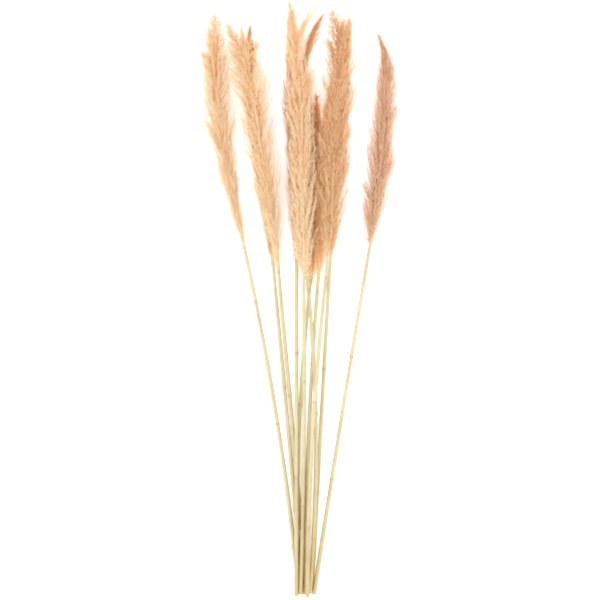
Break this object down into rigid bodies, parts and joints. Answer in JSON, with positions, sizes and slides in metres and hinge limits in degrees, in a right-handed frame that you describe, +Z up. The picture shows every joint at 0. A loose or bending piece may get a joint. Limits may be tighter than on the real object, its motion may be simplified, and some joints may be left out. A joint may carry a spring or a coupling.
{
  "type": "bundle of dried pampas grass",
  "caption": "Loose bundle of dried, peach-dyed pampas grass lying flat: slim straw stalks bunched at their cut ends and fanning out to long feathery plumes.",
  "frame": {"origin": "middle of the bundle's box, on the surface it lies on", "axes": "+Y along the stems from the cut ends to the plumes, +Z up from the surface, +X across the fan of plumes"},
  "size_m": [0.243, 0.75, 0.0484],
  "materials": {
    "stalk": "satin",
    "plume_cream": "matte",
    "plume_peach": "matte",
    "plume_apricot": "matte",
    "plume_rose": "matte",
    "plume_amber": "matte"
  },
  "bodies": {
    "root": {"stalk_01": "stalk", "stalk_02": "stalk", "stalk_03": "stalk", "stalk_04": "stalk", "stalk_05": "stalk", "stalk_06": "stalk", "stalk_07": "stalk", "stalk_08": "stalk", "stalk_09": "stalk", "stalk_10": "stalk", "stalk_11": "stalk", "plume_01": "plume_cream", "plume_02": "plume_apricot", "plume_03": "plume_rose", "plume_04": "plume_amber", "plume_05": "plume_apricot", "plume_06": "plume_rose", "plume_07": "plume_peach", "plume_08": "plume_apricot", "plume_09": "plume_amber", "plume_10": "plume_peach", "plume_11": "plume_apricot"}
  },
  "joints": []
}
